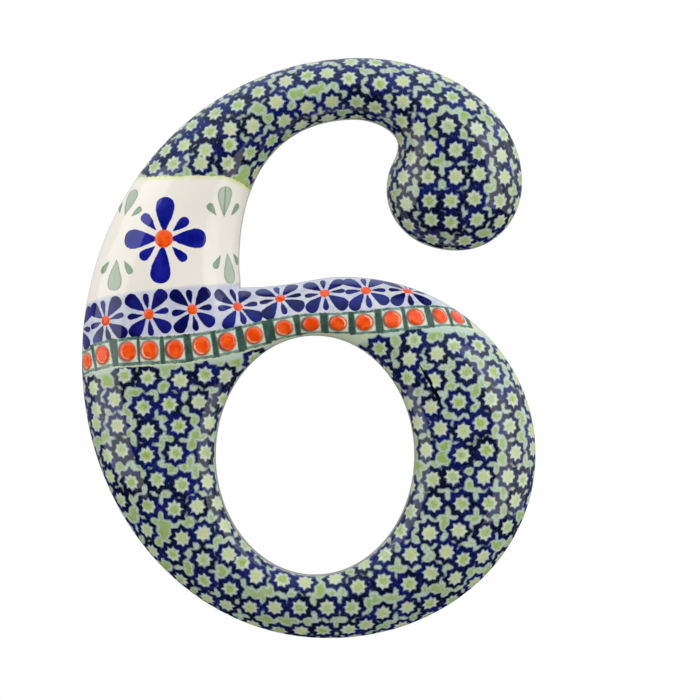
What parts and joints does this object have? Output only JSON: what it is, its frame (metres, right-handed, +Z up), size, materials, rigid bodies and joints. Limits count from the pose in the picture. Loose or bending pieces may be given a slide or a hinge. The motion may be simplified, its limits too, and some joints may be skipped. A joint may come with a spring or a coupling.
{
  "type": "house number",
  "caption": "Glazed stoneware house number in the form of the figure 6, flat at the back and domed at the front, fixed to a wall by sockets in its back.",
  "frame": {"origin": "midway between the two hanging sockets, in the plane of the flat back", "axes": "+Z up as the number is read, +X to the reader's right, +Y into the wall"},
  "size_m": [0.133, 0.0216, 0.17],
  "materials": {
    "glazed_stoneware": "gloss"
  },
  "bodies": {
    "root": {"house_number": "glazed_stoneware"}
  },
  "joints": []
}
